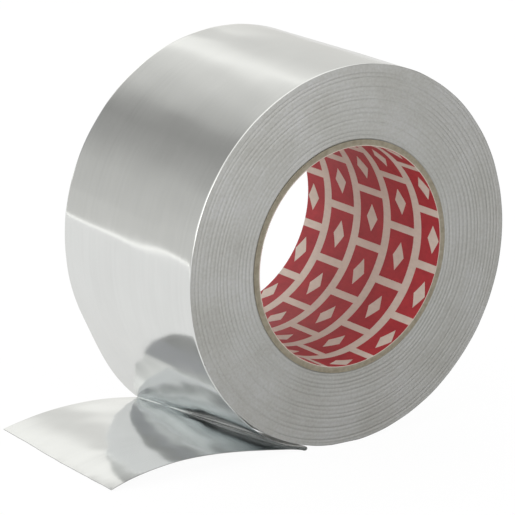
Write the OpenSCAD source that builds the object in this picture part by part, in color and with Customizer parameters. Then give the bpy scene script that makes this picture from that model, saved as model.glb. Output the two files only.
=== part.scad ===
// Roll of aluminium foil tape, standing on its rim.
// The roll's axis is Y with the bore's centre at the origin, Z is up, and the loose end runs out towards -X.
// The outermost turn comes down the -X side, leaves the roll near the floor, and is folded back along it.

/* [Tape] */
// Width of the tape, which is also the length of the roll
tape_w = 75; // [40:1:110]
// Diameter over the outermost turn
roll_d = 132; // [112:1:180]
// Thickness of the tape: foil, glue and release liner together
tape_t = 0.2; // [0.15:0.01:0.35]
// Number of bands that the turns form on the end faces, where some lie a little prouder than others
band_count = 17; // [8:1:24]
// How far the turns between two bands sit back from the end face
band_depth = 0.3; // [0.1:0.05:0.6]
// How far out in a band its proudest turn lies, as a share of the band
band_crest = 0.4; // [0.2:0.05:0.8]
// Radial thickness of the last few turns, whose edges lie flush with the end face
rim_t = 0.6; // [0.4:0.1:2]
// Width of the small flat that the roll's weight presses into its lowest side
flat_w = 12; // [6:1:20]

/* [Core] */
// Diameter of the bore through the paper core
bore_d = 76; // [50:0.5:80]
// Thickness of the paperboard tube's wall
board_t = 1.9; // [1:0.1:4]
// Thickness of the printed paper that lines the tube
liner_t = 0.3; // [0.15:0.05:0.6]

/* [Print] */
// Depth of the ink blocks let into the lining paper
ink_t = 0.06; // [0.03:0.01:0.1]
// Number of blocks around the bore
block_count = 12; // [8:1:14]
// Length of a block around the bore
block_l = 17; // [8:0.5:18]
// Width of a block along the bore
block_w = 13; // [6:0.5:15]
// Distance from one row of blocks to the next along the bore
row_pitch = 17; // [16:0.5:24]
// Length of the bare diamond inside a block, around the bore
diamond_l = 10; // [4:0.5:13]
// Width of the bare diamond along the bore
diamond_w = 6; // [3:0.5:9]

/* [Loose end] */
// Angle before the lowest line of the loose turn's root, where it starts to lift off the roll
root_before = 66; // [60:1:80]
// Gap under the loose turn where it still lies along the roll
loose_gap = 0.08; // [0.06:0.02:0.2]
// Angle before the lowest line at which the turn leaves the roll, at the near face
leave_near = 39; // [32:1:50]
// The same angle at the far face
leave_far = 62; // [52:1:63]
// Angle before the lowest line at which the crease lies, at the near face
crease_near = 13.9; // [12:0.1:16]
// The same angle at the far face
crease_far = 31.5; // [24:0.5:34]
// Radius of the crease, at the middle of the tape's thickness
crease_r = 0.4; // [0.3:0.05:0.6]
// Height of the crease's underside above the floor, at the far face
crease_lift = 1; // [0:0.1:2]
// Slope of the turn where it comes down into the crease, at the near face
drop_near = 14; // [8:1:20]
// The same slope at the far face
drop_far = 38; // [30:1:45]
// Length of the loose end from the crease to its cut edge along the floor, at the near face
tail_near = 79; // [40:1:110]
// The same length at the far face
tail_far = 54; // [35:1:90]
// Slope at which the loose end rises from the crease
rise_slope = 9.5; // [4:0.5:10]
// Slope at which it comes back down, at the near face
fall_near = 19; // [10:1:24]
// The same slope at the far face
fall_far = 10; // [5:1:18]
// Height of the cut edge's underside above the floor, at the near face
end_lift = 0.4; // [0:0.1:2]

/* [Hidden] */

$fn = 60;
// A length that reaches past a face, so that a cut goes right through
past = 1;
// How far the loose turn's root lies inside the outermost turn, so that both are one solid
root_sink = 0.03;
// Angle that the root takes to come out of the roll, shared between both sides of the step
root_angle = 3;

// Number of steps along the loose turn down to the crease, round it and out to the cut edge
down_steps = 16;
bend_steps = 6;
tail_steps = 14;
// Number of steps across the loose turn, from the near face to the far one
cross_steps = 4;

roll_r = roll_d / 2;
// Beyond the place where the outermost turn leaves, the roll is one tape thinner
under_r = roll_r - tape_t;
bore_r = bore_d / 2;
board_r = bore_r + liner_t;
core_r = board_r + board_t;
floor_z = -sqrt(pow(under_r, 2) - pow(flat_w / 2, 2));

// Angles about the axis run from +X over the top to -X, so the lowest line is at 270
lowest = 270;
root_at = lowest - root_before;

// The bands fill the space between the core and the last few turns, which start on a ledge
rim_r = under_r - rim_t;
ledge = rim_t * 0.6;
band_pitch = (rim_r - core_r) / band_count;

// The turns from the core to the first of the last few, which form a flush ledge. Each band rises
// from its groove to its crest and falls back to the next groove.
module turns() {
    crest = tape_w / 2;
    groove = crest - band_depth;
    inner = [for (k = [0:band_count - 1]) core_r + k * band_pitch];
    upper = concat(
        [for (r = inner) each [[r, groove], [r + band_crest * band_pitch, crest]]],
        [[rim_r, groove], [rim_r, crest], [rim_r + ledge, crest]]
    );
    lower = [for (k = [len(upper) - 1:-1:0]) [upper[k][0], -upper[k][1]]];
    rotate_extrude()
        polygon(concat(upper, lower));
}

// A ring's sector from one angle to another, as long as the roll
module sector(inner, outer, from, to) {
    rotate_extrude(start = from, angle = to - from)
        translate([inner, -tape_w / 2])
            square([outer - inner, tape_w]);
}

// The last few turns, seated on the ledge. Over the top they gain the outermost turn's thickness,
// which ends in a step at the loose turn's root.
module rim() {
    seat_r = rim_r + ledge / 2;
    translate([-tape_t / 2, 0, 0])
        sector(seat_r, under_r + tape_t / 2, 0, 180);
    sector(seat_r, roll_r, 180, root_at);
    sector(seat_r, under_r, root_at, 360);
}

// A point at a radius and an angle, and the direction in which a turn runs there
function on_circle(r, a) = [r * cos(a), r * sin(a)];
function heading(a) = [cos(a), sin(a)];

// A point on a cubic curve from p to q that leaves towards angle a and arrives towards angle b
function curve(p, a, q, b, u) =
    let (reach = norm(q - p) * 0.36,
         p1 = p + reach * heading(a),
         q1 = q - reach * heading(b))
    pow(1 - u, 3) * p + 3 * pow(1 - u, 2) * u * p1 + 3 * (1 - u) * u * u * q1 + pow(u, 3) * q;

// Middle line of the loose turn at one face, in the roll's section: on the roll, down to the crease,
// round it, and out along the floor. The points down to the crease are shared out by angle, so that
// those of both faces lie across from each other.
function loose_line(leave, crease, lift, drop, tail, fall, tail_lift) =
    let (half = tape_t / 2,
         mid_r = under_r + loose_gap + half,
         leave_at = lowest - leave,
         start = root_at + root_angle / 2,
         on_roll = max(1, round(down_steps * (leave_at - start) / (lowest - crease - start))),
         bottom = floor_z + lift + half + crease_r,
         eye = [-roll_r * sin(crease) - crease_r, bottom],
         into = eye + crease_r * heading(90 - drop),
         turn = 180 + rise_slope - drop,
         out = eye + crease_r * heading(-90 - rise_slope),
         tip = [eye[0] - tail, floor_z + tail_lift + half])
    concat(
        [for (k = [0:on_roll]) on_circle(mid_r, start + (leave_at - start) * k / on_roll)],
        [for (k = [1:down_steps - on_roll])
            curve(on_circle(mid_r, leave_at), leave_at + 90, into, -drop, k / (down_steps - on_roll))],
        [for (k = [1:bend_steps]) eye + crease_r * heading(90 - drop - turn * k / bend_steps)],
        [for (k = [1:tail_steps]) curve(out, 180 - rise_slope, tip, 180 + fall, k / tail_steps)]
    );

// The line moved sideways by half the tape's thickness, towards the roll's outside or inside,
// with the root's own point before it
function side_line(line, by, root_r) =
    concat(
        [on_circle(root_r, root_at - root_angle / 2)],
        [for (k = [0:len(line) - 1])
            let (d = line[min(k + 1, len(line) - 1)] - line[max(k - 1, 0)],
                 n = [d[1], -d[0]] / norm(d))
            line[k] + by * n]
    );

// The loose turn as one closed strip, straight across from its edge at the near face to that at the
// far one. Each station is a ring of points: the inner side from near to far, then the outer side back.
module loose_turn() {
    near = loose_line(leave_near, crease_near, 0, drop_near, tail_near, fall_near, end_lift);
    far = loose_line(leave_far, crease_far, crease_lift, drop_far, tail_far, fall_far, 0);
    half = tape_t / 2;
    inner = [side_line(near, -half, under_r + loose_gap / 2), side_line(far, -half, under_r + loose_gap / 2)];
    outer = [side_line(near, half, roll_r - root_sink), side_line(far, half, roll_r - root_sink)];
    function across(side, k, u) =
        let (p = side[0][k] + (side[1][k] - side[0][k]) * u)
        [p[0], p[1], tape_w / 2 - tape_w * u];
    shares = [for (j = [0:cross_steps]) j / cross_steps];
    last = len(inner[0]) - 1;
    row = cross_steps + 1;
    ring = 2 * row;
    points = [for (k = [0:last]) each concat(
        [for (u = shares) across(inner, k, u)],
        [for (u = shares) across(outer, k, 1 - u)]
    )];
    // Both sides are split along the same diagonals, so that the strip keeps its thickness
    sides = [for (k = [0:last - 1]) for (e = [0:ring - 1])
        let (a = ring * k + e, b = ring * k + (e + 1) % ring, c = b + ring, d = a + ring)
        each (e < row ? [[a, b, c], [a, c, d]] : [[a, b, d], [b, c, d]])];
    caps = [for (j = [0:cross_steps - 1])
        let (a = j, b = j + 1, c = ring - 2 - j, d = ring - 1 - j, e = ring * last)
        each [[d, c, b], [d, b, a], [e + a, e + b, e + c], [e + a, e + c, e + d]]];
    polyhedron(points = points, faces = concat(sides, caps));
}

module foil_tape() {
    color("lightgray")
        rotate([90, 0, 0])
            union() {
                intersection() {
                    union() {
                        turns();
                        rim();
                    }
                    translate([-roll_d, floor_z, -tape_w])
                        cube([2 * roll_d, 2 * roll_d, 2 * tape_w]);
                }
                loose_turn();
            }
}

// A tube about the roll's axis
module tube(inner, outer) {
    rotate([90, 0, 0])
        difference() {
            cylinder(r = outer, h = tape_w, center = true);
            cylinder(r = inner, h = tape_w + 2 * past, center = true);
        }
}

module core_tube() {
    color("darkkhaki")
        tube(board_r, core_r);
}

// One ink block on a flat sheet, with a bare diamond in its middle
module block_shape() {
    difference() {
        square([block_w, block_l], center = true);
        polygon([[diamond_w / 2, 0], [0, diamond_l / 2], [-diamond_w / 2, 0], [0, -diamond_l / 2]]);
    }
}

// Staggered rows of ink blocks around the bore, cut off at the end faces
module ink_blocks() {
    half_rows = ceil((tape_w - block_w) / (2 * row_pitch));
    step = 360 / block_count;
    intersection() {
        tube(bore_r, bore_r + ink_t);
        rotate([90, 0, 0])
            for (row = [-half_rows:half_rows])
                for (k = [0:block_count - 1])
                    rotate([0, 0, (k + (abs(row) % 2) / 2) * step])
                        translate([bore_r * cos(step / 2), 0, row * row_pitch])
                            rotate([0, 90, 0])
                                linear_extrude(height = bore_r)
                                    block_shape();
    }
}

module core_liner() {
    color("linen")
        difference() {
            tube(bore_r, board_r);
            ink_blocks();
        }
}

module liner_print() {
    color("crimson")
        ink_blocks();
}

foil_tape();
core_tube();
core_liner();
liner_print();
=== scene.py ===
"""Roll of aluminium foil tape, standing on its rim with the loose end creased back along the floor.

Sizes are in millimetres unless a name says otherwise, angles in degrees. Angles about the roll's axis (Y) run
from +X over the top (90) to -X (180) and the lowest line (270).
"""
import math

import bpy
import numpy as np
from mathutils import Matrix, Vector


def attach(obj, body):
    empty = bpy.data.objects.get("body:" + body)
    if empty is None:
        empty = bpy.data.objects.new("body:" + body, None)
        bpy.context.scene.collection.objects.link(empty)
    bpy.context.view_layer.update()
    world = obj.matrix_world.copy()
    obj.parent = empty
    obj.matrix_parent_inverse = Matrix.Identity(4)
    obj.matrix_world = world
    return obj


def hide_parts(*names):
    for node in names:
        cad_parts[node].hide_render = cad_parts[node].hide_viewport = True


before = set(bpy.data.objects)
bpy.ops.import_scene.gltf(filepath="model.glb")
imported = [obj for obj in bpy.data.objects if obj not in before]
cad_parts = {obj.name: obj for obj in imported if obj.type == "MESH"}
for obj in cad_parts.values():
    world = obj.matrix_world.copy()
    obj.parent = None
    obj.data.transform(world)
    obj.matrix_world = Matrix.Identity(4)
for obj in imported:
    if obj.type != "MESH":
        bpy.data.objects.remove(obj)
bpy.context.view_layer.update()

MM = 0.001
SEED = 7

# The roll, as in the part's source
ROLL_R = 66.0
TAPE_T = 0.2
UNDER_R = ROLL_R - TAPE_T
HALF_W = 37.5
CORE_R = 40.2
FLAT_HALF = 6.0
FLOOR_Z = -math.sqrt(UNDER_R ** 2 - FLAT_HALF ** 2)
LOWEST = 270.0
# Where the outermost turn's loose part begins, and where the turn itself begins, a little less than once round before
ROOT = 204.0
ROOT_GAP = 2.0
START = ROOT + ROOT_GAP - 360.0
# Gap between the outermost turn and those under it
TURN_GAP = 0.012


def mix(pair, v):
    """A value between that at the near face and that at the far one."""
    return pair[0] + (pair[1] - pair[0]) * v


def smooth(low, high, x):
    """Smooth step from 0 at low to 1 at high."""
    u = np.clip((np.asarray(x, float) - low) / (high - low), 0.0, 1.0)
    return u * u * (3 - 2 * u)


def bell(x, width):
    """1 at 0, falling to 1/e at width on either side."""
    return np.exp(-(x / width) ** 2)


def heading(a):
    """Unit vectors towards angle a."""
    return np.stack([np.cos(np.radians(a)), np.sin(np.radians(a))], -1)


def lengths(line):
    """Length of a polyline up to each of its points."""
    return np.concatenate([[0], np.cumsum(np.linalg.norm(np.diff(line, axis=0), axis=1))])


def resample(line, along, shares):
    """Points of a polyline at shares of its range of along."""
    at = along[0] + (along[-1] - along[0]) * shares
    return np.stack([np.interp(at, along, line[:, 0]), np.interp(at, along, line[:, 1])], -1)


def cubic(p, a, q, b, samples):
    """A curve from p to q that leaves towards angle a and arrives towards angle b."""
    reach = np.linalg.norm(q - p) * HANDLE
    p1 = p + reach * heading(a)
    q1 = q - reach * heading(b)
    u = np.linspace(0, 1, samples)[:, None]
    return (1 - u) ** 3 * p + 3 * (1 - u) ** 2 * u * p1 + 3 * (1 - u) * u * u * q1 + u ** 3 * q


def normals(grid):
    """Unit normals of a grid of points, out of the roll."""
    along = np.gradient(grid, axis=0)
    across = np.gradient(grid, axis=1)
    n = np.cross(across, along)
    return n / np.linalg.norm(n, axis=2, keepdims=True)


class Waves:
    """A smooth random function of two lengths, as a sum of waves with random directions."""

    COUNT = 14
    SPREAD = (0.6, 1.6)

    def __init__(self, seed, length, stretch=(1.0, 1.0)):
        rng = np.random.default_rng(seed)
        turn = rng.uniform(0, 2 * math.pi, self.COUNT)
        rate = 2 * math.pi / (length * rng.uniform(*self.SPREAD, self.COUNT))
        self.kx = rate * np.cos(turn) / stretch[0]
        self.ky = rate * np.sin(turn) / stretch[1]
        self.phase = rng.uniform(0, 2 * math.pi, self.COUNT)
        self.scale = math.sqrt(2.0 / self.COUNT)

    def __call__(self, x, y):
        x, y = np.asarray(x, float), np.asarray(y, float)
        total = np.zeros(np.broadcast(x, y).shape)
        for kx, ky, phase in zip(self.kx, self.ky, self.phase):
            total += np.sin(kx * x + ky * y + phase)
        return total * self.scale


def uneven(number, size, x, y, stretch=(1.0, 1.0)):
    """Height of the random unevenness with this number, whose size is its height and wave length."""
    height, length = size
    return Waves(SEED + number, length, stretch)(x, y) * height


SHARP_ANGLE = 42.0


def link(obj):
    """Puts an object into the scene."""
    bpy.context.scene.collection.objects.link(obj)
    return obj


def add_mesh(name, points, faces, materials, kinds, uv=None):
    """A mesh object from points in millimetres, smooth apart from its edges; kinds are the faces' materials."""
    mesh = bpy.data.meshes.new(name)
    mesh.from_pydata((points * MM).tolist(), [], faces.tolist())
    for material in materials:
        mesh.materials.append(material)
    mesh.polygons.foreach_set("material_index", kinds)
    if uv is not None:
        layer = mesh.uv_layers.new(name="tape")
        loops = np.empty(len(mesh.loops), np.int32)
        mesh.loops.foreach_get("vertex_index", loops)
        layer.data.foreach_set("uv", (uv[loops] * MM).astype(np.float32).ravel())
    mesh.polygons.foreach_set("use_smooth", np.ones(len(mesh.polygons), bool))
    mesh.update()
    mesh.set_sharp_from_angle(angle=math.radians(SHARP_ANGLE))
    mesh.validate()
    return link(bpy.data.objects.new(name, mesh))


# The outermost turn. Pairs are its values at the near face and at the far one

# Angles before the lowest line at which it leaves the roll and at which the crease lies
LEAVE = (49.0, 62.0)
CREASE = (13.9, 31.5)
# Height of the crease's underside above the floor, and slope of the turn where it comes down into the crease
LIFT = (0.0, 1.0)
DROP = (9.0, 38.0)
# Length of the loose end along the floor, its slopes up from the crease and down to the cut edge, and the
# height of the cut edge
TAIL = (78.7, 57.2)
RISE = (9.5, 9.5)
FALL = (19.0, 10.0)
END_LIFT = (0.4, 0.0)
# Reach of the curves' handles, as a share of the distance between their ends
HANDLE = 0.36
# How much nearer the far corner of the cut edge lies
CORNER_IN = 3.2
# Slack of the turn on the roll, reached this many degrees past its root
SLACK = 0.05
SLACK_OVER = 25.0
# The fold is an open loop up to a share of the way across and tight from another
LOOP_R = (0.6, 0.65)
FOLD_R = 0.14
LOOP_END = (0.45, 0.80)
# How far the loose end springs up beside the crease, over which lengths it does and comes back, and from
# where across it does so less
SPRING = 0.55
SPRING_L = 3.0
SPRING_END = 25.0
SPRING_UNTIL = 0.45 * HALF_W

# Steps round the roll, down to the crease, round it, out to the cut edge and across
WRAP_STEPS = 356
DOWN_STEPS = 96
BEND_STEPS = 20
TAIL_STEPS = 130
CROSS_STEPS = 64
# Samples of the lines before they are divided into steps
ARC_SAMPLES = 60
DOWN_SAMPLES = 160
TAIL_SAMPLES = 400

# The long edges are pressed round by handling, less so on the roll's right and where the turn is loose
EDGE_W = 0.9
EDGE_DROP = 0.19
EDGE_STEPS = 7
RIGHT_FROM = (-125, -95)
RIGHT_TO = (70, 105)
RIGHT_SPARED = 0.65
LOOSE_ROWS = (45, 70)
LOOSE_SPARED = 0.9

# Heights and wave lengths of the unevenness on the roll and where the tape is loose, which begins over some
# rows and leaves the crease out
RIPPLE = (0.035, 22.0)
LOOSE_RIPPLE = (0.025, 20.0)
LOOSE_OVER = 40
RIPPLE_PAST = (0.6, 6.0)
# The same of the crumples beside the crease, their reach, the strip along the crease that they spare, and their
# shares past the middle of the tape and above the crease
CRUMPLE = (0.035, 5.0)
CRUMPLE_REACH = 6.0
CRUMPLE_SPARED = 0.8
CRUMPLE_UNTIL = 10.0
CRUMPLE_FAR = 0.35
CRUMPLE_ABOVE = 0.15
# A knot of them at the near face and some past the middle, with their place and reach across and along
KNOT = (0.09, 2.4)
KNOT_REACH = (3.5, 3.0)
PUCKER = (0.10, 4.0)
PUCKER_AT = (22.0, 2.2)
PUCKER_REACH = (9.0, 2.0)
# Coarse and fine crinkles of the cut edge, their reach, and how much longer the coarse ones are than wide
CRINKLE = (0.035, 7.0)
FINE_CRINKLE = (0.014, 3.0)
CRINKLE_REACH = 2.0
CRINKLE_RATE = 0.4


def outer_r(a):
    """Radius over the outermost turn, which winds one tape thickness further out in a whole turn."""
    return ROLL_R - TAPE_T * (ROOT - a) / (ROOT - START)


def crease_r(v):
    """Radius of the fold at a share v of the way from the near face to the far one."""
    loop = mix(LOOP_R, np.clip(v / LOOP_END[0], 0, 1))
    return FOLD_R + (loop - FOLD_R) * (1 - smooth(*LOOP_END, v))


def column(v):
    """Middle line of the outermost turn's loose part at one place across the tape."""
    half = TAPE_T / 2
    leave = LOWEST - mix(LEAVE, v)
    drop, rise = mix(DROP, v), mix(RISE, v)
    bend_r = crease_r(v)
    eye = np.array([-ROLL_R * math.sin(math.radians(mix(CREASE, v))) - bend_r,
                    FLOOR_Z + mix(LIFT, v) + half + bend_r])
    into = eye + bend_r * heading(90 - drop)
    out = eye + bend_r * heading(-90 - rise)
    tip = np.array([eye[0] - mix(TAIL, v), FLOOR_Z + mix(END_LIFT, v) + half])
    on_roll = np.linspace(ROOT, leave, ARC_SAMPLES)
    slack = SLACK * smooth(ROOT, ROOT + SLACK_OVER, on_roll)
    arc = (ROLL_R - half + slack)[:, None] * heading(on_roll)
    down = np.concatenate([arc, cubic(arc[-1], leave + 90, into, -drop, DOWN_SAMPLES)[1:]])
    angle = np.degrees(np.unwrap(np.arctan2(down[:, 1], down[:, 0])))
    down = resample(down, angle, np.linspace(0, 1, DOWN_STEPS + 1))
    turn = np.linspace(0, 180 + rise - drop, BEND_STEPS + 1)[1:]
    bend = eye + bend_r * heading(90 - drop - turn)
    tail = cubic(out, 180 - rise, tip, 180 + mix(FALL, v), TAIL_SAMPLES)
    tail = resample(tail, lengths(tail), np.linspace(0, 1, TAIL_STEPS + 1))[1:]
    return np.concatenate([down, bend, tail])


def cross_shares():
    """Places across the tape, closer together by its edges, where they are slightly rounded."""
    edge = EDGE_W * (1 - np.cos(np.linspace(0, math.pi / 2, EDGE_STEPS + 1)))[:-1] / (2 * HALF_W)
    gap = EDGE_W / (2 * HALF_W)
    inner = np.linspace(gap, 1 - gap, CROSS_STEPS + 1 - 2 * EDGE_STEPS)
    return np.concatenate([edge, inner, 1 - edge[::-1]])


def middle_sheet(shares, wrap_at):
    """Points of the outermost turn's middle surface, with their lengths past the crease and places across."""
    wrap = (outer_r(wrap_at) - TAPE_T / 2)[:, None] * heading(wrap_at)
    lines = np.stack([np.concatenate([wrap, column(v)]) for v in shares], 1)
    across = np.broadcast_to(-HALF_W + 2 * HALF_W * shares, lines.shape[:2])
    grid = np.stack([lines[..., 0], across, lines[..., 1]], -1)
    along = np.stack([lengths(lines[:, k]) for k in range(len(shares))], 1)
    along -= along[WRAP_STEPS + DOWN_STEPS + BEND_STEPS // 2].copy()
    out = np.clip(along, 0, None) / along[-1]
    grid[..., 1] -= CORNER_IN * (out * shares) ** 2
    return grid, along, across


def make_uneven(grid, along, across, shares, loose):
    """Moves the middle surface's points where the tape is loose, crumpled or crinkled."""
    n = normals(grid)
    past = smooth(*RIPPLE_PAST, np.abs(along))
    grid += n * (uneven(1, LOOSE_RIPPLE, along, across) * loose * past)[..., None]

    # The fold springs open a little, steepest beside the crease
    past = along - crease_r(shares) * math.pi / 2
    spring = SPRING * (1 - np.exp(-np.clip(past, 0, None) / SPRING_L))
    spring *= np.exp(-np.clip(along, 0, None) / SPRING_END) * (1 - smooth(SPRING_UNTIL, HALF_W, across))
    grid[..., 2] += np.where(along > 0, spring, 0)

    # Crumples, most of them by the near face
    near_crease = bell(along, CRUMPLE_REACH) * (1 - bell(along, CRUMPLE_SPARED))
    strong = CRUMPLE_FAR + (1 - CRUMPLE_FAR) * (1 - smooth(-HALF_W, CRUMPLE_UNTIL, across))
    side = np.where(along > 0, 1.0, CRUMPLE_ABOVE)
    crumple = uneven(2, CRUMPLE, along, across, stretch=(1.2, 0.8))
    grid += n * (crumple * near_crease * strong * side)[..., None]
    knot = bell(across + HALF_W, KNOT_REACH[0]) * bell(along, KNOT_REACH[1])
    grid += n * (uneven(5, KNOT, along, across) * knot)[..., None]
    pucker = bell(across - PUCKER_AT[0], PUCKER_REACH[0]) * bell(along - PUCKER_AT[1], PUCKER_REACH[1])
    grid += n * (uneven(6, PUCKER, along, across, stretch=(0.6, 1.3)) * pucker)[..., None]

    # The cut edge
    to_end = along[-1] - along
    crinkle = uneven(3, CRINKLE, across, to_end * CRINKLE_RATE) + uneven(4, FINE_CRINKLE, across, to_end)
    grid[..., 2] += np.where(along > 0, crinkle * np.exp(-to_end / CRINKLE_REACH), 0)


def edge_rounding(across, wrap_at, row):
    """How far the outside lies lower by the long edges."""
    from_edge = np.clip(1 - (HALF_W - np.abs(across[0])) / EDGE_W, 0, 1)
    rounding = EDGE_DROP * (1 - np.sqrt(1 - from_edge ** 2))
    right = smooth(*RIGHT_FROM, wrap_at) * (1 - smooth(*RIGHT_TO, wrap_at))
    pressed = 1 - RIGHT_SPARED * np.concatenate([right, np.zeros(len(row) - len(wrap_at))])
    flat = smooth(*(WRAP_STEPS + rows for rows in LOOSE_ROWS), row)[:, None]
    return rounding[None, :] * (1 - LOOSE_SPARED * flat) * pressed[:, None]


def sheet_faces(rows, cols):
    """Faces of a sheet with two sides of rows by cols points, and their kinds: outside, inside and rim."""
    m = rows * cols
    index = np.arange(m).reshape(rows, cols)
    a, b, c, d = index[:-1, :-1], index[:-1, 1:], index[1:, 1:], index[1:, :-1]
    outside = np.stack([a, b, c, d], -1).reshape(-1, 4)
    inside = np.stack([a, d, c, b], -1).reshape(-1, 4) + m

    def rim(line):
        p, q = line[:-1], line[1:]
        return np.stack([p, q, q + m, p + m], -1)

    rims = np.concatenate([rim(index[:, 0]), rim(index[:, -1])[:, ::-1],
                           rim(index[0, :])[:, ::-1], rim(index[-1, :])])
    kinds = np.repeat(np.arange(3, dtype=np.int32), [len(outside), len(inside), len(rims)])
    return np.concatenate([outside, inside, rims]), kinds


def outermost_turn():
    """The outermost turn of tape: once round the roll, down to the crease and out along the floor."""
    shares = cross_shares()
    wrap_at = np.linspace(START, ROOT, WRAP_STEPS + 1)[:-1]
    grid, along, across = middle_sheet(shares, wrap_at)
    rows, cols = along.shape
    row = np.arange(rows)
    loose = smooth(WRAP_STEPS, WRAP_STEPS + LOOSE_OVER, row)[:, None]
    make_uneven(grid, along, across, shares, loose)

    n = normals(grid)
    ripple = uneven(0, RIPPLE, along, across, stretch=(0.7, 1.7)) * (1 - loose)
    outer = grid + n * (TAPE_T / 2 - edge_rounding(across, wrap_at, row) + ripple)[..., None]
    inner = grid - n * (TAPE_T / 2)
    outer[..., 2] = np.maximum(outer[..., 2], FLOOR_Z)
    # The first time round, the turn lies on the floor with its whole thickness
    lowest = np.where(row < WRAP_STEPS, FLOOR_Z + TAPE_T, FLOOR_Z)[:, None]
    inner[..., 2] = np.maximum(inner[..., 2], lowest)

    uv = np.stack([along, across], -1).reshape(-1, 2)
    faces, kinds = sheet_faces(rows, cols)
    obj = add_mesh("outermost_turn", np.concatenate([outer.reshape(-1, 3), inner.reshape(-1, 3)]), faces,
                   [foil_material(), release_paper_material(), cut_edge_material()], kinds,
                   np.concatenate([uv, uv]))
    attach(obj, "root")
    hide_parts("foil_tape")
    return obj


# The turns under it: bands of their end faces, the flush rim round them, and the gap round the core
BANDS = 17
BAND_DEPTH = 0.21
RIM_T = 0.6
RIM_FADE = 0.4
CORE_GAP_W = 0.3
CORE_GAP_D = 0.3
ROUND_STEPS = 360
FACE_STEPS = 130
# How narrow the grooves are, and the range of their unevenness
GROOVE_POWER = 1.6
GROOVE_MEAN = 0.7
GROOVE_RANGE = (0.25, 1.0)
GROOVE_FULL = 1.15
# Drift of the bands in and out and round the roll, as shares of their pitch, and change of their depth
DRIFT = (0.06, 9.0)
DRIFT_ROUND = (0.10, 1.6)
GROOVE_CHANGE = (0.4, 2.6)
# Parts of the faces where the bands are fainter: angle, half the width and by how much
WORN = ((150, 32, 0.65), (335, 30, 0.3))


def face_depth(r, a, number):
    """How far the end face sits back at radius r and angle a."""
    pitch = (UNDER_R - RIM_T - CORE_R) / BANDS
    c, s = np.cos(np.radians(a)), np.sin(np.radians(a))
    drift = uneven(number, DRIFT, r, 0 * a) + uneven(number + 1, DRIFT_ROUND, c * 1.7 + r * 0.09, s * 1.7)
    wave = (r - CORE_R) / pitch + drift
    groove = (0.5 + 0.5 * np.cos(2 * np.pi * wave)) ** GROOVE_POWER
    strength = GROOVE_MEAN + uneven(number + 2, GROOVE_CHANGE, r * 0.8 + c * 1.5, s * 1.5)
    worn = sum(by * bell(a - at, width) for at, width, by in WORN)
    strength = np.clip(strength, *GROOVE_RANGE) * (GROOVE_FULL - worn)
    rim = smooth(UNDER_R - RIM_T - RIM_FADE, UNDER_R - RIM_T, r)
    gap = CORE_GAP_D * bell(r - CORE_R, CORE_GAP_W)
    return BAND_DEPTH * groove * strength * (1 - rim) + gap


def wound_turns():
    """All the turns under the outermost one, as one solid with uneven end faces."""
    at = np.linspace(0, 360, ROUND_STEPS, endpoint=False)
    wound = np.where(at < ROOT + ROOT_GAP, at, at - 360)
    limit = outer_r(wound) - TAPE_T - TURN_GAP
    r = CORE_R + (limit[:, None] - CORE_R) * np.linspace(0, 1, FACE_STEPS + 1)[None, :]
    a = np.broadcast_to(at[:, None], r.shape)
    near = -HALF_W + face_depth(r, a, 10)
    far = HALF_W - face_depth(r, a, 20)
    xz = r[..., None] * heading(a)
    x, z = xz[..., 0], np.maximum(xz[..., 1], FLOOR_Z + TAPE_T + TURN_GAP)
    # One loop per angle: near face outwards, far face inwards
    loop = np.concatenate([np.stack([x, near, z], -1), np.stack([x, far, z], -1)[:, ::-1]], 1)
    index = np.arange(loop.shape[0] * loop.shape[1]).reshape(loop.shape[:2])
    after = np.roll(index, -1, axis=0)
    corners = [index, np.roll(index, -1, axis=1), np.roll(after, -1, axis=1), after]
    kinds = np.zeros(index.shape, np.int32)
    # The outer side round the roll is painted nearly black as the shade under the outermost turn
    kinds[:, FACE_STEPS] = 1
    obj = add_mesh("wound_turns", loop.reshape(-1, 3), np.stack(corners, -1).reshape(-1, 4),
                   [end_face_material(), turn_side_shade_material()], kinds.ravel())
    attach(obj, "root")
    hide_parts("foil_tape")
    return obj


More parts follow.
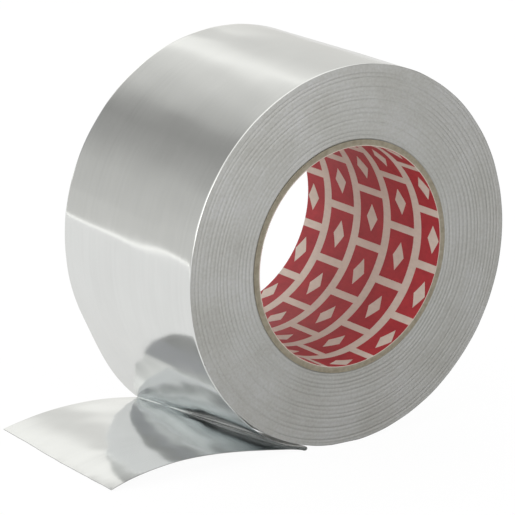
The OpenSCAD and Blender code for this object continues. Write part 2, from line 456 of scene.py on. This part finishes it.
class Nodes:
    """The node tree of a material or world, with short calls."""

    def __init__(self, owner, shader="Principled BSDF"):
        owner.use_nodes = True
        self.owner = owner
        self.tree = owner.node_tree
        self.shader = self.tree.nodes[shader]

    def put(self, sockets, name, value):
        """Links an input to a socket, or gives it a value."""
        if isinstance(value, bpy.types.NodeSocket):
            self.tree.links.new(value, sockets[name])
        else:
            sockets[name].default_value = value

    def add(self, kind, inputs=None, **settings):
        node = self.tree.nodes.new(kind)
        for key, value in settings.items():
            setattr(node, key, value)
        for key, value in (inputs or {}).items():
            self.put(node.inputs, key, value)
        return node

    def set(self, **inputs):
        """Sets the shader's inputs, with _ for the spaces in their names."""
        for key, value in inputs.items():
            self.put(self.shader.inputs, key.replace("_", " "), value)

    def object_place(self):
        return self.add("ShaderNodeTexCoord").outputs["Object"]

    def tape_place(self):
        """Lengths past the crease and across the tape."""
        return self.add("ShaderNodeUVMap", uv_map="tape").outputs[0]

    def split(self, vector):
        return self.add("ShaderNodeSeparateXYZ", {0: vector}).outputs

    def maths(self, operation, a, b=0.0, c=0.0):
        return self.add("ShaderNodeMath", {0: a, 1: b, 2: c}, operation=operation).outputs[0]

    def total(self, *parts):
        """Sum of values, each given with its share."""
        result = 0.0
        for value, share in parts:
            result = self.maths("MULTIPLY_ADD", value, share, result)
        return result

    def blend(self, fac, a, b):
        """a where fac is 0 and b where it is 1."""
        return self.maths("ADD", self.maths("MULTIPLY", a, self.maths("SUBTRACT", 1.0, fac)),
                          self.maths("MULTIPLY", b, fac))

    def step(self, value, zero_at, one_at):
        """Smooth step between two values, either of which may be the larger."""
        return self.add("ShaderNodeMapRange", {"Value": value, "From Min": zero_at, "From Max": one_at},
                        interpolation_type="SMOOTHSTEP").outputs[0]

    def vector(self, operation, a, b, c=(0.0, 0.0, 0.0)):
        return self.add("ShaderNodeVectorMath", {0: a, 1: b, 2: c}, operation=operation).outputs[0]

    def noise(self, vector, scale, detail):
        """Noise with one scale, or with one for each axis."""
        if isinstance(scale, tuple):
            vector, scale = self.vector("MULTIPLY", vector, scale), 1.0
        return self.add("ShaderNodeTexNoise", {"Vector": vector, "Scale": scale, "Detail": detail}).outputs[0]

    def ring_noise(self, place, per_mm, detail):
        """Noise that changes only with the distance from the roll's axis."""
        x, _, z = self.split(place)
        square = self.maths("ADD", self.maths("MULTIPLY", x, x), self.maths("MULTIPLY", z, z))
        ring = self.maths("MULTIPLY", self.maths("SQRT", square), per_mm / MM)
        return self.noise(self.add("ShaderNodeCombineXYZ", {0: ring}).outputs[0], 1.0, detail)

    def ramp(self, fac, stops):
        """Colours between stops, each a place and a colour."""
        node = self.add("ShaderNodeValToRGB", {"Fac": fac})
        elements = node.color_ramp.elements
        while len(elements) < len(stops):
            elements.new(0.5)
        for element, (place, colour) in zip(elements, stops):
            element.position = place
            element.color = (*colour, 1.0)
        return node.outputs[0]

    def bump(self, height, strength, depth_mm):
        return self.add("ShaderNodeBump", {"Height": height, "Strength": strength,
                                           "Distance": depth_mm * MM}).outputs[0]

    def show(self, shader):
        """Makes a shader the surface."""
        self.tree.links.new(shader, self.tree.nodes["Material Output"].inputs["Surface"])


def new_material(name):
    return Nodes(bpy.data.materials.new(name))


def grey(value):
    return (value, value, value)


def scaled(colour, by):
    return tuple(by * c for c in colour)


# The materials' colours, as stops of their noise
FOIL = (0.852, 0.868, 0.873)
FOIL_TINTS = [(0.3, scaled(FOIL, 0.97)), (0.7, scaled(FOIL, 1.03))]
RELEASE_PAPER_TINTS = [(0.3, (0.74, 0.73, 0.70)), (0.7, (0.83, 0.82, 0.80))]
CUT_EDGE_TINTS = [(0.3, grey(0.17)), (0.7, grey(0.30))]
END_FACE_TINTS = [(0.32, (0.315, 0.313, 0.290)), (0.5, (0.372, 0.372, 0.356)), (0.68, (0.425, 0.428, 0.428))]
# Nearly black: painted shade under the outermost turn
TURN_SIDE_SHADE_TINTS = [(0.3, grey(0.05)), (0.7, grey(0.08))]
BOARD_TINTS = [(0.32, (0.240, 0.208, 0.148)), (0.55, (0.350, 0.312, 0.235)), (0.7, (0.41, 0.37, 0.29))]
PAPER_TINTS = [(0.3, (0.625, 0.555, 0.475)), (0.7, (0.735, 0.665, 0.58))]
INK_TINTS = [(0.3, (0.34, 0.012, 0.022)), (0.7, (0.48, 0.024, 0.034))]
# The fold's foil is rougher where it is crumpled and darker with painted shade of the crease: its share of the foil's
# brightness, what it adds to the roughness, where it begins above the crease, ends past it and ends across, and how
# ragged its border is
FOLD_SHADE = 0.45
FOLD_ROUGH = 0.20
FOLD_FROM = (-0.8, 0.0)
FOLD_W = (2.0, 3.6)
FOLD_TO = (9.0, 20.0)
FOLD_RAGGED = 3.0


def foil_material():
    """Bright rolled foil with faint lines along the tape, rougher in the fold and darker there with painted shade of
    the crease.
    """
    n = new_material("foil_bright")
    uv = n.tape_place()
    lines = n.noise(uv, (6, 900, 1), 2.0)
    cloud = n.noise(uv, (40, 60, 1), 3.0)
    tint = n.ramp(n.total((cloud, 0.65), (lines, 0.35)), FOIL_TINTS)
    rough = n.maths("MULTIPLY_ADD", cloud, 0.05, 0.095)

    # Rougher in the fold, and darker there with painted shade of the crease
    along, across, _ = n.split(uv)
    ragged = n.maths("SUBTRACT", n.noise(uv, (500, 300, 1), 3.0), 0.5)
    border = n.maths("MULTIPLY_ADD", ragged, FOLD_RAGGED * MM, along)
    fold = n.maths("MULTIPLY", n.step(border, FOLD_W[1] * MM, FOLD_W[0] * MM),
                   n.step(along, FOLD_FROM[0] * MM, FOLD_FROM[1] * MM))
    fold = n.maths("MULTIPLY", fold, n.step(across, FOLD_TO[1] * MM, FOLD_TO[0] * MM))
    # Painted shade: the foil's colour is darker beside the crease
    tint = n.vector("MULTIPLY", tint, n.maths("MULTIPLY_ADD", fold, FOLD_SHADE - 1.0, 1.0))
    rough = n.maths("MULTIPLY_ADD", fold, FOLD_ROUGH, rough)
    n.set(Base_Color=tint, Metallic=1.0, Roughness=rough, Normal=n.bump(lines, 0.05, 0.2))
    return n.owner


def release_paper_material():
    """The pale paper on the tape's underside."""
    n = new_material("release_paper")
    uv = n.tape_place()
    fibres = n.noise(uv, (700, 500, 1), 4.0)
    cloud = n.noise(uv, (60, 60, 1), 3.0)
    tint = n.ramp(n.total((cloud, 0.6), (fibres, 0.4)), RELEASE_PAPER_TINTS)
    n.set(Base_Color=tint, Roughness=0.45, Normal=n.bump(fibres, 0.2, 0.05))
    return n.owner


def cut_edge_material():
    """The slit edge of foil, adhesive and paper."""
    n = new_material("cut_edge")
    tint = n.ramp(n.noise(n.object_place(), 900.0, 3.0), CUT_EDGE_TINTS)
    n.set(Base_Color=tint, Metallic=0.4, Roughness=0.45)
    return n.owner


def end_face_material():
    """The slit edges of the turns: fine rings of foil, adhesive and paper."""
    n = new_material("end_face")
    place = n.object_place()
    turns = n.ring_noise(place, 5.2, 1.0)
    patch = n.noise(place, 60.0, 3.0)
    speck = n.noise(place, 1100.0, 2.0)
    tint = n.ramp(n.total((turns, 0.2), (patch, 0.4), (speck, 0.4)), END_FACE_TINTS)
    n.set(Base_Color=tint, Metallic=0.25, Roughness=0.5, Normal=n.bump(turns, 0.25, 0.06))
    return n.owner


def turn_side_shade_material():
    """The outside of the turn under the outermost one, painted nearly black as the shade of the outermost turn over
    it.
    """
    n = new_material("turn_side_painted_shade")
    tint = n.ramp(n.noise(n.object_place(), 120.0, 3.0), TURN_SIDE_SHADE_TINTS)
    n.set(Base_Color=tint, Metallic=0.5, Roughness=0.4)
    return n.owner


def board_material():
    """The grey paperboard of the core."""
    n = new_material("grey_board")
    place = n.object_place()
    plies = n.ring_noise(place, 2.4, 2.0)
    fibre = n.noise(place, 700.0, 4.0)
    tint = n.ramp(n.total((plies, 0.5), (fibre, 0.5)), BOARD_TINTS)
    n.set(Base_Color=tint, Roughness=0.85, Normal=n.bump(fibre, 0.3, 0.1))
    return n.owner


def fibrous_material(name, cloud_scale, fibre_share, tints, rough, bump, depth_mm):
    """Paper with its fibres along the bore, and what is printed on it."""
    n = new_material(name)
    place = n.object_place()
    fibre = n.noise(place, (800.0, 400.0, 800.0), 4.0)
    cloud = n.noise(place, cloud_scale, 3.0)
    tint = n.ramp(n.total((fibre, fibre_share), (cloud, 1.0 - fibre_share)), tints)
    n.set(Base_Color=tint, Roughness=rough, Normal=n.bump(fibre, bump, depth_mm))
    return n.owner


def paper_material():
    """The uncoated paper that lines the core."""
    return fibrous_material("lining_paper", 70.0, 0.5, PAPER_TINTS, 0.8, 0.25, 0.08)


def ink_material():
    """Red ink on the lining paper, slightly mottled."""
    return fibrous_material("red_ink", 110.0, 0.45, INK_TINTS, 0.55, 0.2, 0.06)


def dress(node, material):
    """Gives a CAD node a material."""
    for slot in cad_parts[node].material_slots:
        slot.material = material


# The floor: its grey, a faint mottle, half its width in metres, the share of plain white that is seen in it, so that
# the rest keeps its shadow, and the white's level
FLOOR_GREY = 0.78
FLOOR_MOTTLE = 0.004
FLOOR_HALF_M = 6.0
FLOOR_WHITE = 0.94
WHITE_LEVEL = 1.02
# The same share and level where the foil looks at the floor, and the studio's tint there
METAL_WHITE = 0.55
METAL_LEVEL = 0.79
STUDIO_TINT = (1.01, 1.0, 0.955)


def warm(n, glossy):
    """White, or the slightly warm white of the studio where the foil looks at it."""
    return n.vector("MULTIPLY_ADD", glossy, tuple(c - 1.0 for c in STUDIO_TINT), (1.0, 1.0, 1.0))


def whiten(n):
    """Mixes plain white into what is seen of a surface, and leaves its light on other things."""
    path = n.add("ShaderNodeLightPath")
    direct = n.maths("ADD", path.outputs["Is Camera Ray"], path.outputs["Is Transmission Ray"])
    glossy = path.outputs["Is Glossy Ray"]
    share = n.maths("MINIMUM", n.total((glossy, METAL_WHITE), (direct, FLOOR_WHITE)), FLOOR_WHITE)
    level = n.maths("MULTIPLY_ADD", glossy, METAL_LEVEL - WHITE_LEVEL, WHITE_LEVEL)
    white = n.add("ShaderNodeEmission", {"Color": warm(n, glossy), "Strength": level})
    n.show(n.add("ShaderNodeMixShader", {0: share, 1: n.shader.outputs[0], 2: white.outputs[0]}).outputs[0])


def add_sheet(name, corners, material):
    """A flat sheet from its four corners in metres."""
    mesh = bpy.data.meshes.new(name)
    mesh.from_pydata(corners, [], [(0, 1, 2, 3)])
    mesh.materials.append(material)
    return link(bpy.data.objects.new(name, mesh))


def floor_plane():
    """A plain pale floor."""
    n = new_material("pale_floor")
    tint = n.ramp(n.noise(n.object_place(), 2.0, 2.0),
                  [(0.3, grey(FLOOR_GREY)), (0.7, grey(FLOOR_GREY + FLOOR_MOTTLE))])
    n.set(Base_Color=tint, Roughness=0.9, Specular_IOR_Level=0.0)
    whiten(n)
    s, z = FLOOR_HALF_M, FLOOR_Z * MM
    obj = add_sheet("floor", [(-s, -s, z), (s, -s, z), (s, s, z), (-s, s, z)], n.owner)


# A low board on the left and a dark flag behind, which only the foil shows
BOARD_X = -327.0
BOARD_Y = (120.0, 1600.0)
BOARD_H = 90.0
BOARD_STRENGTH = 1.5
BOARD_LEVELS = [(0.0, 1.0), (0.07, 1.0), (0.10, 0.395), (1.0, 0.385)]
FLAG_X = (-135.0, -36.0)
FLAG_Y = 200.0
FLAG_Z = (30.0, 118.0)
FLAG_LEVEL = 0.38
FLAG_TINTS = [(0.3, grey(0.94)), (0.7, grey(1.0))]


def card(n, name, corners, tint, strength):
    """A glowing card that only reflections show."""
    n.show(n.add("ShaderNodeEmission", {"Color": tint, "Strength": strength}).outputs[0])
    obj = add_sheet(name, [Vector(c) * MM for c in corners], n.owner)
    obj.visible_camera = False
    obj.visible_diffuse = False
    obj.visible_shadow = False


def low_board():
    """A low grey board on the left with a bright foot, where it meets the floor."""
    n = new_material("low_board")
    height = n.split(n.object_place())[2]
    share = n.maths("DIVIDE", n.maths("SUBTRACT", height, FLOOR_Z * MM), BOARD_H * MM)
    tint = n.ramp(share, [(place, scaled(STUDIO_TINT, level)) for place, level in BOARD_LEVELS])
    x, (y0, y1), z0, z1 = BOARD_X, BOARD_Y, FLOOR_Z, FLOOR_Z + BOARD_H
    card(n, "low_board", [(x, y0, z0), (x, y1, z0), (x, y1, z1), (x, y0, z1)], tint, BOARD_STRENGTH)


def dark_flag():
    """A dark card behind the roll, which shows where the roll and the loose end mirror each other."""
    n = new_material("dark_flag")
    tint = n.ramp(n.noise(n.object_place(), 9.0, 1.0), FLAG_TINTS)
    (x0, x1), y, (z0, z1) = FLAG_X, FLAG_Y, FLAG_Z
    card(n, "dark_flag", [(x0, y, z0), (x1, y, z0), (x1, y, z1), (x0, y, z1)], tint, FLAG_LEVEL)


# A soft lamp close by on the upper left
LAMP_AT = (-157.0, -167.0, 194.0)
LAMP_SIZE = 140.0
LAMP_WATTS = 0.5


def side_lamp(lit):
    """The near lamp, flagged off from everything but the objects in lit."""
    light = bpy.data.lights.new("side_lamp", "AREA")
    light.shape = "DISK"
    light.size = LAMP_SIZE * MM
    light.energy = LAMP_WATTS
    obj = link(bpy.data.objects.new("side_lamp", light))
    obj.location = Vector(LAMP_AT) * MM
    obj.rotation_euler = obj.location.to_track_quat("Z", "Y").to_euler()
    obj.visible_glossy = False
    obj.visible_camera = False
    only = bpy.data.collections.new("lit_by_side_lamp")
    for one in lit:
        only.objects.link(one)
    obj.light_linking.receiver_collection = only


# The world's levels. Behind the roll they change with the direction's angle about the roll's axis: (angle, level)
BEHIND = [(-20, 0.70), (13, 0.69), (37, 0.68), (45, 0.71), (53, 0.81), (57, 0.90), (62, 0.97), (66, 0.85),
          (71, 0.76), (77, 0.70), (85, 0.64), (93, 0.59), (101, 0.53), (109, 0.45), (116, 0.335),
          (124, 0.30), (133, 0.33), (141, 0.38), (149, 0.44), (157, 0.50), (165, 0.53), (173, 0.56),
          (195, 0.58), (210, 0.72)]
# The same nearer to straight behind, where only the loose end looks
STRAIGHT = [(-20, 0.97), (26, 0.97), (33, 0.72), (42, 0.72), (47, 1.00), (60, 1.00), (66, 0.85), (71, 0.76),
            (77, 0.70), (93, 0.59), (109, 0.45), (116, 0.335), (124, 0.30), (141, 0.38), (157, 0.50),
            (195, 0.58), (210, 0.72)]
# Range of those angles, and what the levels are divided by because a ramp ends at 1
AROUND = (-90.0, 270.0)
RAMP_TOP = 2.0
# Straight behind, the plain wall further aside, the front and its two sides, and the ceiling
STRAIGHT_LEVEL = 1.30
WALL_LEVEL = 1.05
FRONT_LEVEL = 0.48
LEFT_LEVEL = 1.75
RIGHT_LEVEL = 0.30
TOP_LEVEL = 1.05
# How much brighter the wall behind lights matt surfaces than the foil shows it
BACK_LIGHT = 1.6
# Where each of them takes over, as the direction's x, y or z where it begins and where it is full
STRAIGHT_PANELS_Y = (0.785, 0.812)
STRAIGHT_Y = (0.885, 0.915)
WALL_Y = (0.72, 0.62)
FRONT_Y = (0.50, 0.20)
LEFT_X, LEFT_Z = (-0.25, -0.7), (0.75, 0.45)
RIGHT_X, RIGHT_Z = (0.45, 0.85), (0.8, 0.5)
RIGHT_WALL_X, RIGHT_WALL_Y = (0.74, 0.86), (0.62, 0.5)
TOP_Z = (0.72, 0.86)
BACK_LIGHT_Y = (0.2, 0.5)


def world_light():
    """A soft studio all round: long panels behind the roll, an even front and a brighter ceiling."""
    world = bpy.data.worlds.new("studio")
    bpy.context.scene.world = world
    n = Nodes(world, "Background")
    x, y, z = n.split(n.add("ShaderNodeTexCoord").outputs["Generated"])
    low, high = AROUND
    angle = n.maths("MULTIPLY", n.maths("ARCTAN2", z, x), 180 / math.pi)
    angle = n.maths("ADD", angle, n.maths("MULTIPLY", n.maths("LESS_THAN", angle, low), 360.0))
    share = n.maths("DIVIDE", n.maths("SUBTRACT", angle, low), high - low)

    def panels(levels):
        stops = [((a - low) / (high - low), grey(level / RAMP_TOP)) for a, level in levels]
        return n.maths("MULTIPLY", n.ramp(share, stops), RAMP_TOP)

    behind = n.blend(n.step(y, *STRAIGHT_PANELS_Y), panels(BEHIND), panels(STRAIGHT))
    behind = n.blend(n.step(y, *WALL_Y), behind, WALL_LEVEL)
    behind = n.blend(n.step(y, *STRAIGHT_Y), behind, STRAIGHT_LEVEL)
    left = n.maths("MULTIPLY", n.step(x, *LEFT_X), n.step(z, *LEFT_Z))
    right = n.maths("MULTIPLY", n.step(x, *RIGHT_X), n.step(z, *RIGHT_Z))
    ahead = n.blend(right, n.blend(left, FRONT_LEVEL, LEFT_LEVEL), RIGHT_LEVEL)
    level = n.blend(n.step(y, *FRONT_Y), behind, ahead)
    right_wall = n.maths("MULTIPLY", n.step(x, *RIGHT_WALL_X), n.step(y, *RIGHT_WALL_Y))
    level = n.blend(right_wall, level, RIGHT_LEVEL)
    level = n.blend(n.step(z, *TOP_Z), level, TOP_LEVEL)
    path = n.add("ShaderNodeLightPath")
    matt = n.maths("MULTIPLY", path.outputs["Is Diffuse Ray"], n.step(y, *BACK_LIGHT_Y))
    level = n.maths("MULTIPLY", level, n.maths("MULTIPLY_ADD", matt, BACK_LIGHT - 1.0, 1.0))
    level = n.blend(path.outputs["Is Camera Ray"], level, 1.0)
    n.set(Color=n.vector("MULTIPLY", warm(n, path.outputs["Is Glossy Ray"]), level), Strength=1.0)


# The camera, from the outlines of the rims and of the bore in the photograph
CAM_AZIMUTH = -36.421
CAM_ELEVATION = 15.474
CAM_ROLL = 1.680
CAM_DISTANCE = 1120.56
CAM_PAN = (-9.46, -8.88)
CAM_LENS = 227.66
CAM_SENSOR = 36.0
CAM_CLIP_M = (0.05, 50.0)


def add_camera():
    """The camera, from its direction, its roll and how far it is moved aside and up."""
    az, el, roll = (math.radians(v) for v in (CAM_AZIMUTH, CAM_ELEVATION, CAM_ROLL))
    back = Vector((math.sin(az) * math.cos(el), -math.cos(az) * math.cos(el), math.sin(el)))
    level = Vector((0, 0, 1)).cross(back).normalized()
    rise = back.cross(level)
    right = math.cos(roll) * level + math.sin(roll) * rise
    up = math.cos(roll) * rise - math.sin(roll) * level
    place = (right * CAM_PAN[0] + up * CAM_PAN[1] + back * CAM_DISTANCE) * MM
    camera = bpy.data.cameras.new("camera")
    camera.sensor_width = CAM_SENSOR
    camera.lens = CAM_LENS
    camera.clip_start, camera.clip_end = CAM_CLIP_M
    obj = link(bpy.data.objects.new("camera", camera))
    turn = Matrix((right, up, back)).transposed().to_4x4()
    obj.matrix_world = Matrix.Translation(place) @ turn
    bpy.context.scene.camera = obj


# The roll and the loose end mirror each other several times
MAX_BOUNCES = 16
GLOSSY_BOUNCES = 12

add_camera()
tape = [outermost_turn(), wound_turns()]
dress("core_tube", board_material())
dress("core_liner", paper_material())
dress("liner_print", ink_material())
floor_plane()
low_board()
dark_flag()
side_lamp(tape)
world_light()
scene = bpy.context.scene
scene.view_settings.view_transform = "Standard"
scene.cycles.max_bounces = MAX_BOUNCES
scene.cycles.glossy_bounces = GLOSSY_BOUNCES
